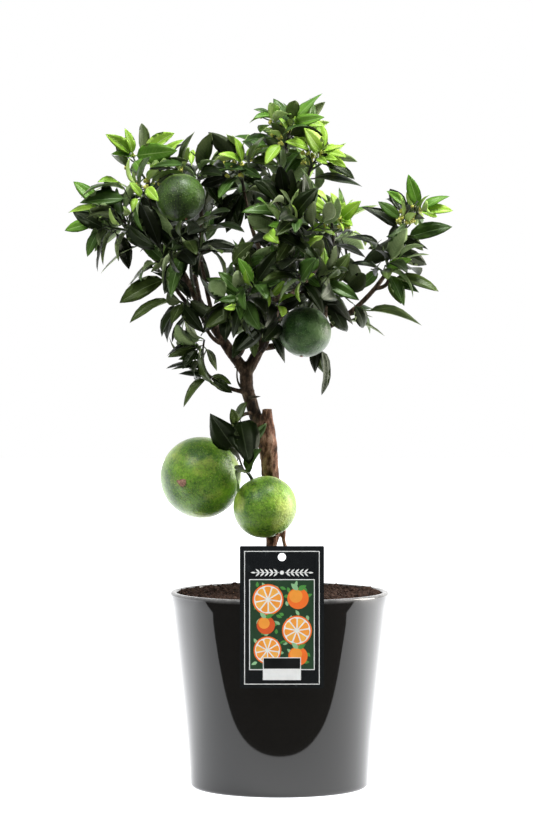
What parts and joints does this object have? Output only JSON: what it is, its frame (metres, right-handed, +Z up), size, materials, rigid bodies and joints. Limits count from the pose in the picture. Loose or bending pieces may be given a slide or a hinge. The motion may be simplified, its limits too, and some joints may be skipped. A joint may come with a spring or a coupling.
{
  "type": "potted mandarin orange tree",
  "caption": "Small grafted mandarin tree with green fruit in a tapered gloss black pot, a printed care card hung on the rim.",
  "frame": {"origin": "centre of the pot's flat underside", "axes": "+Z up the tree, -Y towards the side the card hangs on and the picture is taken from, +X to that view's right"},
  "size_m": [0.371, 0.263, 0.665],
  "materials": {
    "pot_glaze": "gloss black glaze",
    "peat": "coarse dark potting peat",
    "bark": "rough grey-brown bark",
    "foliage": "glossy green leaves, twigs and green fruit",
    "printed_card": null
  },
  "bodies": {
    "root": {"pot": "pot_glaze", "soil": "peat", "trunk": "bark", "left_bough": "bark", "right_bough": "bark", "far_left_bough": "bark", "left_low_bough": "bark", "inner_left_bough": "bark", "upper_inner_bough": "bark", "back_left_bough": "bark", "left_under_bough": "bark", "front_left_bough": "bark", "low_mid_bough": "bark", "upper_mid_bough": "bark", "centre_bough": "bark", "centre_low_bough": "bark", "young_bough": "bark", "upper_right_bough": "bark", "far_right_bough": "bark", "right_low_bough": "bark", "hanging_bough": "bark", "right_tail_bough": "bark", "right_side_bough": "bark", "back_right_bough": "bark", "back_top_bough": "bark", "back_low_bough": "bark", "low_left_bough": "bark", "fruiting_bough": "bark", "upper_left_mass": "foliage", "far_left_mass": "foliage", "left_low_mass": "foliage", "left_under_mass": "foliage", "inner_left_mass": "foliage", "upper_inner_mass": "foliage", "front_left_mass": "foliage", "back_left_mass": "foliage", "low_mid_mass": "foliage", "upper_mid_mass": "foliage", "top_mass": "foliage", "centre_mass": "foliage", "centre_low_mass": "foliage", "young_mass": "foliage", "upper_right_mass": "foliage", "far_right_mass": "foliage", "right_side_mass": "foliage", "right_tail_mass": "foliage", "right_low_mass": "foliage", "hanging_mass": "foliage", "back_right_mass": "foliage", "back_top_mass": "foliage", "back_low_mass": "foliage", "low_left_mass": "foliage", "fruiting_mass": "foliage", "card": "printed_card"}
  },
  "joints": []
}
